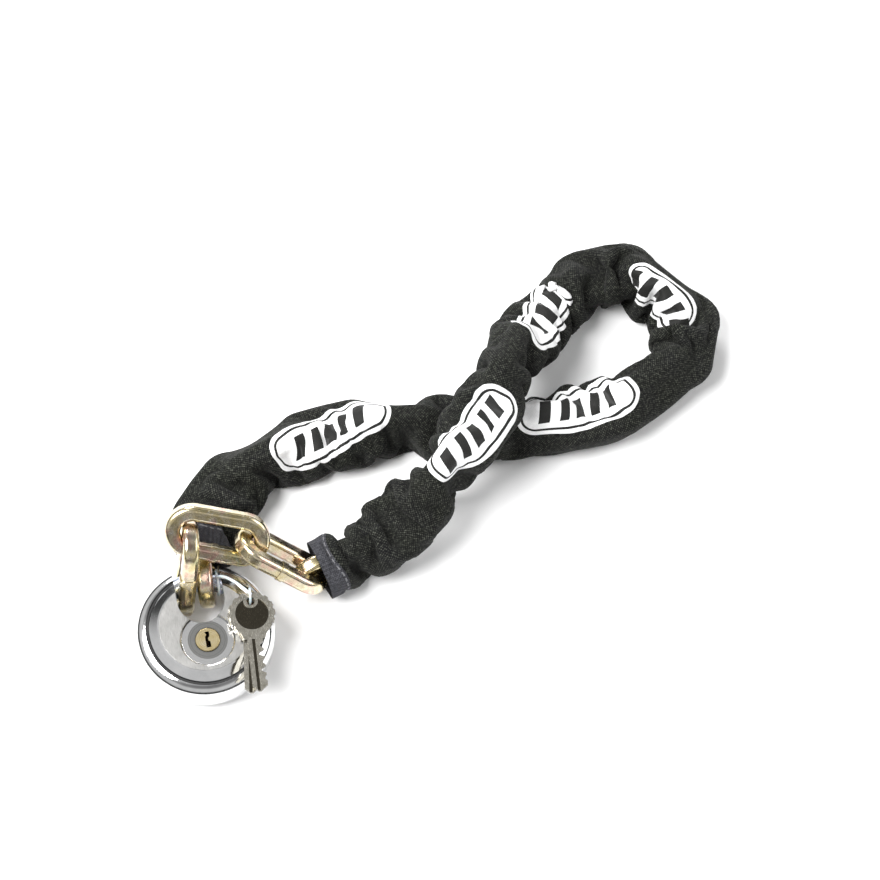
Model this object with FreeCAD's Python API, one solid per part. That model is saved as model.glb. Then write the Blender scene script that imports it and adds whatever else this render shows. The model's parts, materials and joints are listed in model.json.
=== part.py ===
import FreeCAD, Part
import math
import os
from FreeCAD import Placement, Rotation, Vector

# Chain lock: a square-link chain in a fabric sleeve, laid in a crossed loop on a flat surface, with
# both ends held by a disc padlock. Millimetres, +Z up, +X from the padlock to the far end of the loop.

# --- driving dimensions -------------------------------------------------------------------------
LAYOUT_SHIFT = Vector(20.8, 5.4, 0)     # moves the layout so the origin is under the middle of its box

LINK_BAR = 8.0              # square section of the chain wire
LINK_CORNER = 2.4           # rounding of the wire's edges
LINK_INNER_LENGTH = 37.0
LINK_INNER_WIDTH = 12.0
WELD_LENGTH = 3.0
WELD_PROUD = 0.4

CHAIN_Z = 16.0              # height of the sleeved chain's centre line
OPEN_REACH = 12.5           # from a link's centre to its neighbour's end bar
CLIMB_STEEP = 37.5          # slopes of the strand that climbs over the other one, in degrees
CLIMB_EASY = 21.0
CREST = 8.0
FALL_EASY = 22.0

# Headings in degrees of the links, from the end link of the lower strand round to the last sleeved
# link of the upper strand. Odd links stand on edge and even ones lie flat.
LINK_HEADINGS = [58, 20, -6, -22, -35, -41, -33, -20, 1, 41, 99, 156, 194, 209, 211, 204, 191, 178, 167]
LINK_SLOPES = {1: -5.0, 14: CLIMB_STEEP, 15: CLIMB_EASY, 16: -CREST, 18: -FALL_EASY}

# Bare links: centre, heading, slope and roll in degrees
LINK_R = (Vector(-112.9, -15.9, 28.8), -54.9, -30.6, -37.4)
LINK_L = (Vector(-133.2, 8.9, 43.5), -42.2, -14.5, 48.1)
LINK_V = (Vector(-152.7, 9.8, 28.2), 37.8, 58.6, -68.0)

SLEEVE_INNER = 15.2
SLEEVE_OUTER = 16.7
SLEEVE_Z = CHAIN_Z + 0.5
SLEEVE_START = 2.0          # past the middle of link 1
SLEEVE_END = 11.5           # past the middle of link 19
FOLD_LIMIT = 40.0           # degrees, how far each end of the chain folds up
FOLD_GAP = 0.3

LOCK_CENTRE = Vector(-164.2, -20.2, 16.3)
LOCK_UP_HEADING = 63.6
LOCK_LEAN = 5.0
LOCK_ROLL = 5.0
LOCK_RADIUS = 35.0
FACE_Z = 14.0
BACK_Z = 13.0
WALL = 1.6
NOTCH_RADIUS = 11.8
NOTCH_Y = 14.0
NOTCH_WALL = 1.4

SHACKLE_PATH = 28.0         # radius of the shackle's own curve
SHACKLE_BAR = 5.0
SHACKLE_TOE = -38.0         # angles from the lock's up line, positive towards its left
SHACKLE_HEEL = 96.0
SHACKLE_TRAVEL = 72.0
SHACKLE_FIT = 0.25
END_LINK_ANGLE = -10.5
TIE_ANGLE = -22.0

PLUG_Y = -7.0
PLUG_RADIUS = 6.0
PLUG_FIT = 0.05
PLUG_TRAVEL = 90.0
CYLINDER_RADIUS = 7.2
DISH_RADIUS = 13.8
CRANK_REACH = 10.0
CRANK_START = 110.0
CRANK_PIN = 1.6
PIN_COUNT = 4
PIN_PITCH = 3.1
PIN_RADIUS = 1.15

KEY_HOLE = Vector(23.5, 7.0, 0)
KEY_THICK = 2.2
KEY_BOW = 11.5
KEY_HOLE_OFFSET = 6.5
KEY_BLADE_WIDTH = 7.6
KEY_BLADE_LENGTH = 28.0
KEY_TURNS = (-8.5, -3.5)    # how each key lies, in degrees from the lock's down line

ALONG_Z = Vector(0, 0, 1)
ORIGIN = Vector(0, 0, 0)
BIG = 400.0
parts = {}


# --- small helpers ------------------------------------------------------------------------------
def direction(heading, slope=0.0):
    """Unit vector of a heading and a slope in degrees."""
    flat = math.cos(math.radians(slope))
    return Vector(math.cos(math.radians(heading)) * flat, math.sin(math.radians(heading)) * flat,
                  math.sin(math.radians(slope)))


def fall_to_level(slopes, reach, overlap):
    """Slope of link 17 that brings the upper strand back down to where it started."""
    flat = 2 * reach + 2 * overlap
    wanted = 0.0
    for number in (14, 16, 18):
        wanted += math.sin(math.radians(slopes[number])) * flat
    wanted += math.sin(math.radians(slopes[15])) * 2 * reach
    return -math.degrees(math.asin(wanted / (2 * reach)))


def moved(shape, placement):
    """A copy of a shape under a placement."""
    copy = shape.copy()
    copy.Placement = placement.multiply(copy.Placement)
    return copy


def polar(radius, angle, z=0.0):
    """Point at an angle in degrees from the lock's up line, positive towards its left."""
    return Vector(-radius * math.sin(math.radians(angle)), radius * math.cos(math.radians(angle)), z)


def half_space(point, normal):
    """A large block on the side of a plane that its normal points to."""
    block = Part.makeBox(BIG, BIG, BIG, Vector(-BIG / 2, -BIG / 2, 0))
    return moved(block, Placement(point, Rotation(ALONG_Z, normal)))


def sector(inner, outer, low, high, start, stop):
    """Ring sector between two radii, two heights and two angles from the lock's up line."""
    ring = Part.makeCylinder(outer, high - low, Vector(0, 0, low), ALONG_Z, stop - start)
    ring = ring.cut(Part.makeCylinder(inner, high - low, Vector(0, 0, low)))
    ring.rotate(ORIGIN, ALONG_Z, 90.0 + start)
    return ring


def outline_solid(points, z, height):
    """Prism on a closed outline of x, y points."""
    wire = Part.makePolygon([Vector(x, y, z) for x, y in points] + [Vector(*points[0], z)])
    return Part.Face(wire).extrude(Vector(0, 0, height))


# --- chain links --------------------------------------------------------------------------------
def rounded_square(size, corner):
    """Rounded square wire face in the YZ plane, centred on the origin."""
    block = Part.makeBox(1, size, size, Vector(0, -size / 2, -size / 2))
    block = block.makeFillet(corner, [e for e in block.Edges if abs(e.tangentAt(e.FirstParameter).x) > 0.9])
    return [f for f in block.Faces if f.CenterOfMass.x < 1e-6][0]


def chain_link():
    """One welded link, long side along X and flat in the XY plane."""
    lane = (LINK_INNER_WIDTH + LINK_BAR) / 2
    straight = LINK_INNER_LENGTH - LINK_INNER_WIDTH
    section = rounded_square(LINK_BAR, LINK_CORNER)
    body = None
    for side in (-1, 1):
        bar = section.copy()
        bar.translate(Vector(-straight / 2, side * lane, 0))
        bar = bar.extrude(Vector(straight, 0, 0))
        bend = section.copy()
        bend.translate(Vector(side * straight / 2, -side * lane, 0))
        bend = bend.revolve(Vector(side * straight / 2, 0, 0), ALONG_Z, 180)
        body = bar.fuse(bend) if body is None else body.fuse([bar, bend])
    weld = rounded_square(LINK_BAR + 2 * WELD_PROUD, LINK_CORNER)
    weld.translate(Vector(-WELD_LENGTH / 2, -lane, 0))
    return body.fuse(weld.extrude(Vector(WELD_LENGTH, 0, 0))).removeSplitter()


def link_envelope():
    """Solid outline that a link fills, with a little room round it."""
    half = LINK_INNER_LENGTH / 2 - LINK_INNER_WIDTH / 2
    radius = LINK_INNER_WIDTH / 2 + LINK_BAR + WELD_PROUD + 0.15
    thick = LINK_BAR + 2 * WELD_PROUD + 0.4
    slab = Part.makeBox(2 * half, 2 * radius, thick, Vector(-half, -radius, -thick / 2))
    ends = [Part.makeCylinder(radius, thick, Vector(x, 0, -thick / 2)) for x in (-half, half)]
    return slab.fuse(ends).removeSplitter()


def link_placement(centre, heading, slope, roll):
    """Placement of a link: its long axis points along the heading and slope, then it rolls."""
    turn = Rotation(ALONG_Z, heading).multiply(Rotation(Vector(0, 1, 0), -slope))
    return Placement(centre, turn.multiply(Rotation(Vector(1, 0, 0), roll)))


def chain_layout(first_centre):
    """Centres of the sleeved links. Each pair meets at a standing bar and a lying bar: headings
    change at the standing one and slopes at the lying one."""
    overlap = LINK_INNER_LENGTH / 2 + LINK_BAR / 2 - OPEN_REACH
    LINK_SLOPES[17] = fall_to_level(LINK_SLOPES, OPEN_REACH, overlap)
    centres = [first_centre]
    joints = []
    for index in range(1, len(LINK_HEADINGS)):
        a, b = index, index + 1
        standing, lying = (a, b) if a % 2 else (b, a)
        a_half = direction(LINK_HEADINGS[a - 1], LINK_SLOPES.get(a, 0.0)) * OPEN_REACH
        b_half = direction(LINK_HEADINGS[b - 1], LINK_SLOPES.get(b, 0.0)) * OPEN_REACH
        middle = direction(LINK_HEADINGS[standing - 1], LINK_SLOPES.get(lying, 0.0)) * overlap
        joints.append(centres[-1] + a_half + middle * 0.5)
        centres.append(centres[-1] + a_half + middle + b_half)
    return centres, joints


def end_bar(centre, index, side):
    """Middle of a link's end bar, ahead of its centre (side 1) or behind it (side -1)."""
    reach = LINK_INNER_LENGTH / 2 + LINK_BAR / 2
    return centre + direction(LINK_HEADINGS[index - 1], LINK_SLOPES.get(index, 0.0)) * (reach * side)


# --- sleeve -------------------------------------------------------------------------------------
def rounded_path(points):
    """Straight runs through the points, joined by tangent arcs."""
    edges = []
    start = points[0]
    for before, corner, after in zip(points, points[1:], points[2:]):
        back = before - corner
        ahead = after - corner
        turn = math.pi - back.getAngle(ahead)
        if turn < math.radians(1.5):
            edges.append(Part.LineSegment(start, corner).toShape())
            start = corner
            continue
        reach = 0.45 * min(back.Length, ahead.Length)
        radius = reach / math.tan(turn / 2)
        back.normalize()
        ahead.normalize()
        first = corner + back * reach
        last = corner + ahead * reach
        inward = (back + ahead).normalize()
        middle = corner + inward * (radius / math.cos(turn / 2) - radius)
        edges.append(Part.LineSegment(start, first).toShape())
        edges.append(Part.Arc(first, middle, last).toShape())
        start = last
    edges.append(Part.LineSegment(start, points[-1]).toShape())
    return Part.Wire(edges)


def tube(points, radius):
    """Round bar swept along a rounded path."""
    path = rounded_path(points)
    ahead = points[1] - points[0]
    section = Part.Wire([Part.Circle(points[0], ahead, radius).toShape()])
    return path.makePipeShell([section], True, False)


def sleeve_piece(points, envelopes, cutters):
    """Hollow fabric tube with its folds cut away, clear of the links and flat underneath."""
    raised = [p + Vector(0, 0, SLEEVE_Z - CHAIN_Z) for p in points]
    shell = tube(raised, SLEEVE_OUTER)
    first = raised[0] - (raised[1] - raised[0]).normalize()
    last = raised[-1] + (raised[-1] - raised[-2]).normalize()
    shell = shell.cut(tube([first] + raised[1:-1] + [last], SLEEVE_INNER))
    shell = shell.cut(half_space(ORIGIN, Vector(0, 0, -1)))
    for cutter in cutters:
        shell = shell.cut(cutter)
    for envelope in envelopes:
        shell = shell.cut(envelope)
    return max(shell.Solids, key=lambda s: s.Volume)


def folded(shape, point, axis, angle):
    """A copy of a shape turned about a fold line."""
    copy = shape.copy()
    copy.rotate(point, axis, angle)
    return copy


def fold_cutters(axis_point, outward):
    """What a folding sleeve end loses, so that it can turn up about the fold line."""
    upright = half_space(axis_point + outward * FOLD_GAP, outward * -1)
    tilted = outward * -math.cos(math.radians(FOLD_LIMIT)) + ALONG_Z * math.sin(math.radians(FOLD_LIMIT))
    return [upright, half_space(axis_point + outward * FOLD_GAP, tilted)]


# --- padlock ------------------------------------------------------------------------------------
def turned(points):
    """Solid of revolution about Z. A point with a third value is the middle of an arc."""
    edges = []
    at = Vector(points[0][0], 0, points[0][1])
    through = None
    for point in points[1:] + [points[0]]:
        here = Vector(point[0], 0, point[1])
        if len(point) == 3:
            through = here
            continue
        if through is not None:
            edges.append(Part.Arc(at, through, here).toShape())
            through = None
        else:
            edges.append(Part.LineSegment(at, here).toShape())
        at = here
    return Part.Face(Part.Wire(edges)).revolve(ORIGIN, ALONG_Z, 360)


def notch(grow):
    """The round-bottomed notch that the shackle crosses, grown by a margin."""
    radius = NOTCH_RADIUS + grow
    slot = Part.makeBox(2 * radius, 60, 60, Vector(-radius, NOTCH_Y, -30))
    return Part.makeCylinder(radius, 60, Vector(0, NOTCH_Y, -30)).fuse(slot).removeSplitter()


def outer_form():
    """Outside of the lock body: rounded rim, groove, polished bevel and flat face."""
    return turned([(0, -BACK_Z), (27, -BACK_Z), (28.4, -11.4), (29.4, -11.0), (33.4, -8.2, 1),
                   (LOCK_RADIUS, -3.2), (LOCK_RADIUS, 3.2), (33.4, 8.2, 1), (29.4, 10.6),
                   (28.9, 9.7), (28.0, 9.7), (27.5, 10.4), (23.7, 13.4), (22.8, FACE_Z), (0, FACE_Z)])


def inner_form(shrink):
    """Hollow of the lock body."""
    w = WALL + shrink
    return turned([(0, -BACK_Z + w), (26.2 - shrink, -BACK_Z + w), (31.8 - shrink, -7.6 + shrink),
                   (LOCK_RADIUS - w, -3.0), (LOCK_RADIUS - w, 3.0), (31.8 - shrink, 7.4 - shrink),
                   (27.0 - shrink, 8.0 - shrink), (22.0 - shrink, FACE_Z - w), (0, FACE_Z - w)])


def shackle_arc(start, stop, radius):
    """Round bar bent about the lock's centre between two angles from its up line."""
    section = Part.Face(Part.Wire([Part.Circle(Vector(0, SHACKLE_PATH, 0), Vector(1, 0, 0), radius).toShape()]))
    section.rotate(ORIGIN, ALONG_Z, start)
    return section.revolve(ORIGIN, ALONG_Z, stop - start)


def keyway(z, height, clearance):
    """Warded key slot through the plug."""
    wide = 1.15 + clearance
    return outline_solid([(-wide, -4.1), (wide, -4.1), (wide, -1.2), (wide - 0.9, -0.4), (wide - 0.9, 0.8),
                          (wide, 1.5), (wide, 4.1), (-wide, 4.1), (-wide + 0.8, 2.4), (-wide, 1.8)],
                         z, height)


def crank_pin_point(turn):
    """Centre of the crank pin after the plug has turned."""
    return Vector(0, PLUG_Y, 0) + polar(CRANK_REACH, CRANK_START + turn)


def make_lock_body():
    """Two drawn shells, the block between them and the brass cylinder."""
    dish = Part.makeCylinder(DISH_RADIUS, 3, Vector(0, PLUG_Y, FACE_Z - 1.3))
    dish = dish.makeChamfer(1.0, [dish.Edges[2]]) if len(dish.Edges) == 3 else dish
    dish_room = Part.makeCylinder(DISH_RADIUS + 1.6, 6, Vector(0, PLUG_Y, FACE_Z - 1.3 - WALL))
    hollow = inner_form(0).cut(dish_room).cut(notch(NOTCH_WALL))
    skin = outer_form().cut(dish).cut(notch(0)).cut(hollow)
    skin = skin.cut(shackle_arc(SHACKLE_TOE - 4, 38, SHACKLE_BAR + SHACKLE_FIT))
    skin = skin.cut(Part.makeCylinder(PLUG_RADIUS + 0.3, 20, Vector(0, PLUG_Y, 0)))
    parts["front_shell"] = skin.cut(half_space(ORIGIN, Vector(0, 0, -1)))
    parts["back_shell"] = skin.cut(half_space(ORIGIN, ALONG_Z))

    bible = Part.makeBox(6.4, 11, 14, Vector(-3.2, PLUG_Y - CYLINDER_RADIUS - 9.5, -2.4))
    cylinder = Part.makeCylinder(CYLINDER_RADIUS, 13.2, Vector(0, PLUG_Y, -2.4))
    cylinder = cylinder.fuse(bible.common(half_space(Vector(0, 0, 9.8), Vector(0, 0, -1)))).removeSplitter()
    pocket = Part.makeCylinder(CYLINDER_RADIUS + 0.1, 30, Vector(0, PLUG_Y, -2.5))
    pocket = pocket.fuse(Part.makeBox(6.6, 11.2, 30, Vector(-3.3, PLUG_Y - CYLINDER_RADIUS - 9.6, -2.5)))
    block = inner_form(0.1).cut(dish_room).cut(notch(NOTCH_WALL + 0.1)).cut(pocket)
    block = block.cut(shackle_arc(-44, 172, SHACKLE_BAR + 0.4))
    block = block.cut(sector(8.4, 32.4, -9.9, -6.3, 68, 272))
    block = block.cut(sector(24.2, 32.2, -6.4, -3.6, 76, 172))
    block = block.cut(Part.makeCylinder(CRANK_REACH + 3.1, 4.0, Vector(0, PLUG_Y, -6.4)))
    parts["lock_block"] = max(block.Solids, key=lambda s: s.Volume)
    parts["cylinder_body"] = cylinder


def make_cylinder_core():
    """Plug, pin stacks, springs, crank and its screw."""
    bore = Part.makeCylinder(PLUG_RADIUS + PLUG_FIT, 40, Vector(0, PLUG_Y, -20))
    plug = Part.makeCylinder(PLUG_RADIUS, 15.7, Vector(0, PLUG_Y, -2.4))
    plug = plug.makeChamfer(0.35, [e for e in plug.Edges if e.BoundBox.ZMin > 13])
    slot = keyway(-1.2, 30, 0.0)
    slot.translate(Vector(0, PLUG_Y, 0))
    plug = plug.cut(slot)
    body = parts["cylinder_body"].cut(bore)
    key_pins, driver_pins, springs = [], [], []
    shear = PLUG_Y - PLUG_RADIUS
    for index in range(PIN_COUNT):
        z = 0.2 + index * PIN_PITCH
        length = 2.0 + 0.45 * ((index * 3) % 4)
        bore_length = 1.9 + 5.9
        chamber = Part.makeCylinder(PIN_RADIUS + 0.1, bore_length + 9.2, Vector(0, shear + 3.6, z), Vector(0, -1, 0))
        plug = plug.cut(chamber.common(Part.makeCylinder(PLUG_RADIUS, 40, Vector(0, PLUG_Y, -20))))
        body = body.cut(Part.makeCylinder(PIN_RADIUS + 0.1, 9.6, Vector(0, shear + 0.5, z), Vector(0, -1, 0)))
        pin = Part.makeCylinder(PIN_RADIUS, length, Vector(0, shear + 0.35, z), Vector(0, 1, 0))
        tip = [e for e in pin.Edges if e.BoundBox.YMin > shear + 0.3 + length - 0.1]
        key_pins.append(pin.makeChamfer(0.45, tip))
        driver_pins.append(Part.makeCylinder(PIN_RADIUS, 3.0, Vector(0, shear - 0.35, z), Vector(0, -1, 0)))
        coil = Part.makeHelix(1.15, 4.6, 0.8)
        wire = Part.Wire([Part.Circle(Vector(0.8, 0, 0), Vector(0, 1, 0.23), 0.22).toShape()])
        spring = Part.Wire(coil.Edges).makePipeShell([wire], True, True)
        spring.rotate(ORIGIN, Vector(1, 0, 0), 90)
        spring.translate(Vector(0, shear - 3.65, z))
        springs.append(spring)
    parts["cylinder_body"] = body
    parts["plug"] = plug
    parts["key_pins"] = Part.makeCompound(key_pins)
    parts["driver_pins"] = Part.makeCompound(driver_pins)
    parts["pin_springs"] = Part.makeCompound(springs)

    hub = Part.makeCylinder(5.2, 2.9, Vector(0, PLUG_Y, -5.4))
    pin_at = crank_pin_point(0)
    arm = outline_solid([(-2.6, 0), (2.6, 0), (2.6, CRANK_REACH), (-2.6, CRANK_REACH)], -5.4, 2.9)
    arm.rotate(ORIGIN, ALONG_Z, CRANK_START)
    arm.translate(Vector(0, PLUG_Y, 0))
    eye = Part.makeCylinder(2.6, 2.9, Vector(pin_at.x, pin_at.y, -5.4))
    pin = Part.makeCylinder(CRANK_PIN, 4.2, Vector(pin_at.x, pin_at.y, -9.4))
    crank = hub.fuse([arm, eye, pin]).removeSplitter()
    parts["crank"] = crank.cut(Part.makeCylinder(1.3, 10, Vector(0, PLUG_Y, -8)))
    head = Part.makeCylinder(2.3, 0.8, Vector(0, PLUG_Y, -6.2))
    parts["crank_screw"] = head.fuse(Part.makeCylinder(1.25, 4.0, Vector(0, PLUG_Y, -5.45))).removeSplitter()
    parts["plug"] = parts["plug"].cut(Part.makeCylinder(1.3, 1.2, Vector(0, PLUG_Y, -2.4)))


def make_shackle():
    """Curved shackle bar and the slotted carrier that the crank drives."""
    bar = shackle_arc(SHACKLE_TOE, SHACKLE_HEEL, SHACKLE_BAR)
    toe = [e for e in bar.Edges if abs(math.degrees(math.atan2(-e.CenterOfMass.x, e.CenterOfMass.y))
                                       - SHACKLE_TOE) < 0.5 and e.Closed]
    bar = bar.makeChamfer(0.8, toe[:1]) if toe else bar
    boss = sector(25.0, 28.6, -6.6, -3.8, 80, 94)
    parts["shackle"] = bar.fuse(boss).removeSplitter()
    plate = sector(11.5, 28.6, -9.4, -6.6, 76, 198)
    steps = 24
    for step in range(steps + 1):
        share = step / steps
        at = crank_pin_point(PLUG_TRAVEL * share)
        bore = Part.makeCylinder(CRANK_PIN + 0.12, 6, Vector(at.x, at.y, -11))
        bore.rotate(ORIGIN, ALONG_Z, -SHACKLE_TRAVEL * share)
        plate = plate.cut(bore)
    parts["shackle_carrier"] = max(plate.Solids, key=lambda s: s.Volume)


# --- keys and tie -------------------------------------------------------------------------------
def key():
    """Key with its hole at the origin and its blade along -Y, lying on z = 0."""
    bow = Part.makeCylinder(KEY_BOW, KEY_THICK, Vector(0, -KEY_HOLE_OFFSET, 0))
    scallops = 16
    for index in range(scallops):
        angle = 360.0 * (index + 0.5) / scallops
        at = polar(KEY_BOW + 0.9, angle) + Vector(0, -KEY_HOLE_OFFSET, 0)
        if at.y > -KEY_HOLE_OFFSET - 9.5:
            bow = bow.cut(Part.makeCylinder(1.6, 3 * KEY_THICK, Vector(at.x, at.y, -KEY_THICK)))
    for z in (-0.1, KEY_THICK - 0.35):
        recess = Part.makeCylinder(8.2, 0.45, Vector(0, -KEY_HOLE_OFFSET, z))
        recess = recess.cut(Part.makeCylinder(3.6, 0.45, Vector(0, 0, z)))
        bow = bow.cut(recess)
    root = -KEY_HOLE_OFFSET - KEY_BOW
    half = KEY_BLADE_WIDTH / 2
    tip = root - KEY_BLADE_LENGTH
    cuts = []
    depths = (1.6, 2.6, 1.2, 2.2, 0.9)
    pitch = 4.2
    for index, depth in enumerate(depths):
        y = root - 5.0 - index * pitch
        cuts += [(half, y + 1.8), (half - depth, y + 0.6), (half - depth, y - 0.6), (half, y - 1.8)]
    outline = [(-half, root + 2.5), (half, root + 2.5)] + cuts
    outline += [(half, tip + 2.6), (0.6, tip), (-0.8, tip), (-half, tip + 2.2)]
    blade = outline_solid(outline, 0, KEY_THICK)
    for x, z in ((-1.5, KEY_THICK - 0.6), (0.6, -0.2)):
        blade = blade.cut(Part.makeBox(1.5, KEY_BLADE_LENGTH, 0.8, Vector(x, tip - 1, z)))
    shoulder = outline_solid([(-5.2, root - 1.6), (5.2, root - 1.6), (6.6, root + 2.5), (-6.6, root + 2.5)],
                             0, KEY_THICK)
    whole = bow.fuse([blade, shoulder]).removeSplitter()
    return whole.cut(Part.makeCylinder(2.1, 3 * KEY_THICK, Vector(0, 0, -KEY_THICK)))


def make_keys():
    """Two keys stacked on the lock's face."""
    for index, turn in enumerate(KEY_TURNS):
        copy = key()
        copy.rotate(ORIGIN, ALONG_Z, turn)
        copy.translate(KEY_HOLE + Vector(0, 0, FACE_Z + 0.95 + index * (KEY_THICK + 0.25)))
        parts["key_%d" % (index + 1)] = copy


def make_tie():
    """Plastic tie: a ring on the shackle, a strap and a ring through both keys."""
    thin = 0.6
    at = polar(SHACKLE_PATH, TIE_ANGLE)
    ring_radius = SHACKLE_BAR / math.cos(math.radians(TIE_ANGLE)) + 0.3 + thin
    ring = Part.makeTorus(ring_radius, thin, at, Vector(1, 0, 0))
    loop_radius = 3.7
    tilt = sum(KEY_TURNS) / 2
    loop_at = KEY_HOLE + Vector(0, 0, FACE_Z + 3.3) + direction(90 + tilt) * 3.3
    loop = Part.makeTorus(loop_radius, thin, loop_at, direction(tilt))
    crown = at + Vector(0, 0, ring_radius)
    landing = loop_at + Vector(0, 0, loop_radius)
    bulge = crown * 0.7 + landing * 0.3 + Vector(0, 0, 7.5)
    path = Part.Wire([Part.Arc(crown, bulge, landing).toShape()])
    start = path.Edges[0].tangentAt(path.Edges[0].FirstParameter)
    strap = path.makePipeShell([Part.Wire([Part.Circle(crown, start, 0.7).toShape()])], True, False)
    ends = [Part.makeSphere(0.9, crown), Part.makeSphere(0.9, landing)]
    parts["key_tie"] = ring.fuse([strap, loop] + ends).removeSplitter()


# --- assembly -----------------------------------------------------------------------------------
def lock_placement():
    """Where the padlock lies: its up line, lean and roll."""
    turn = Rotation(ALONG_Z, LOCK_UP_HEADING - 90).multiply(Rotation(Vector(1, 0, 0), LOCK_LEAN))
    return Placement(LOCK_CENTRE, turn.multiply(Rotation(Vector(0, 1, 0), LOCK_ROLL)))


def make_padlock():
    """Every padlock part, put where the lock lies."""
    make_lock_body()
    make_cylinder_core()
    make_shackle()
    make_keys()
    make_tie()
    where = lock_placement()
    for name in list(parts):
        parts[name] = moved(parts[name], where)
    return where


def make_chain(where):
    """Every link, with the sleeve pieces round the covered ones."""
    held = where.multVec(polar(SHACKLE_PATH, END_LINK_ANGLE))
    ahead = direction(LINK_HEADINGS[0])
    rise = OPEN_REACH * math.sin(math.radians(-LINK_SLOPES[1]))
    first = Vector(held.x, held.y, 0) + ahead * 13.0 + Vector(0, 0, CHAIN_Z + rise)
    centres, joints = chain_layout(first)
    plain = chain_link()
    envelope = link_envelope()
    envelopes = []
    for number, centre in enumerate(centres, 1):
        spot = link_placement(centre, LINK_HEADINGS[number - 1], LINK_SLOPES.get(number, 0.0),
                              90.0 if number % 2 else 0.0)
        parts["link_%02d" % number] = moved(plain, spot)
        envelopes.append(moved(envelope, spot))
    bare = []
    for name, (centre, heading, slope, roll) in (("link_r", LINK_R), ("link_l", LINK_L), ("link_v", LINK_V)):
        spot = link_placement(centre, heading, slope, roll)
        parts[name] = moved(plain, spot)
        bare.append(moved(envelope, spot))

    near_a, near_b = end_bar(centres[3], 4, -1), end_bar(centres[17], 18, 1)
    far_a, far_b = end_bar(centres[7], 8, 1), end_bar(centres[13], 14, -1)
    near_out = (near_b - near_a).cross(ALONG_Z).normalize()
    far_out = (far_b - far_a).cross(ALONG_Z).normalize()
    near_out = near_out * (1 if near_out.x < 0 else -1)
    far_out = far_out * (1 if far_out.x > 0 else -1)
    start = centres[0] + direction(LINK_HEADINGS[0], LINK_SLOPES[1]) * SLEEVE_START
    finish = centres[18] + direction(LINK_HEADINGS[18]) * SLEEVE_END
    near_cut, far_cut = fold_cutters(near_a, near_out), fold_cutters(far_a, far_out)
    stay = [half_space(near_a, near_out), half_space(far_a, far_out)]
    fold_near = [(near_a, near_b - near_a, 3), (near_a, near_b - near_a, 19)]
    fold_far = [(far_a, far_b - far_a, 9), (far_a, far_b - far_a, 13)]
    swept = {}
    for point, axis, number in fold_near + fold_far:
        side = 1 if number in (9, 13) else -1
        swept[number] = [folded(envelopes[number - 1], point, axis, side * angle) for angle in (10, 20, 30, 40)]
    runs = {
        "sleeve_near_a": ([start] + joints[0:3] + [centres[3]], envelopes[0:4] + bare, near_cut),
        "sleeve_mid_a": ([joints[2]] + joints[3:7] + [joints[7]], envelopes[2:9] + swept[3] + swept[9], stay),
        "sleeve_far": ([centres[7]] + joints[7:13] + [centres[13]], envelopes[7:14], far_cut),
        "sleeve_mid_b": ([joints[12]] + joints[13:17] + [joints[17]], envelopes[12:19] + swept[13] + swept[19], stay),
        "sleeve_near_b": ([centres[17], joints[17], finish], envelopes[17:19] + bare, near_cut),
    }
    for name, (points, near, cutters) in runs.items():
        parts[name] = sleeve_piece(points, near, cutters)
    return dict(near_a=near_a, near_b=near_b, far_a=far_a, far_b=far_b, held=held)


def main():
    """Builds every part and writes one STEP file for each."""
    where = make_padlock()
    marks = make_chain(where)
    os.makedirs("parts", exist_ok=True)
    shift = Placement(LAYOUT_SHIFT, Rotation())
    whole = FreeCAD.BoundBox()
    for name, shape in sorted(parts.items()):
        placed = moved(shape, shift)
        whole.add(placed.BoundBox)
        placed.exportStep("parts/%s.step" % name)
        print("%-16s solids %2d valid %s volume %9.1f" % (name, len(placed.Solids), placed.isValid(), placed.Volume))
    print("box", whole)
    for name, point in marks.items():
        print(name, point + LAYOUT_SHIFT)
    print("lock centre", LOCK_CENTRE + LAYOUT_SHIFT)
    for axis in (Vector(1, 0, 0), Vector(0, 1, 0), ALONG_Z):
        print("lock axis", where.Rotation.multVec(axis))


main()
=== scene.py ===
import json
import math

import bpy
import numpy as np
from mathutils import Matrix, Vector


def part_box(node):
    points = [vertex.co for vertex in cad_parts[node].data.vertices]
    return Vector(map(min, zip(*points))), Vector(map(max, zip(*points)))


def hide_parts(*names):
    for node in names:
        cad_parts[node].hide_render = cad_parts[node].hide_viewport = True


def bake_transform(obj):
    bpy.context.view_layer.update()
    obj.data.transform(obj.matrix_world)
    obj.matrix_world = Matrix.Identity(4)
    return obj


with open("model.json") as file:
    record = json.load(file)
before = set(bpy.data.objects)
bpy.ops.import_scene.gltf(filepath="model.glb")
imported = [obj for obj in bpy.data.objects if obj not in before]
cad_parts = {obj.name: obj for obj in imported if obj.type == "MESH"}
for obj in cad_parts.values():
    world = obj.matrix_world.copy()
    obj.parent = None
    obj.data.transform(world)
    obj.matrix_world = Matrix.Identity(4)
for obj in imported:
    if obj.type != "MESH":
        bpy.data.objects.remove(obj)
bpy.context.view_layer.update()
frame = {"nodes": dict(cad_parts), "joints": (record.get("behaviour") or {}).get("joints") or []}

NODES = frame["nodes"]
JOINTS = {joint["name"]: joint for joint in frame["joints"]}
UP = np.array([0.0, 0.0, 1.0])

# ------------------------------------------------------------------------------------------------
# Camera
# ------------------------------------------------------------------------------------------------
CAMERA_TARGET = Vector((0.0208, 0.0054, 0.0))
CAMERA_TOWARDS = Vector((-0.6157, -0.788, 0.0)).normalized()
CAMERA_ELEVATION = math.radians(63.0)
CAMERA_DISTANCE = 1.25
CAMERA_FIELD = math.radians(20.9916)


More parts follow.
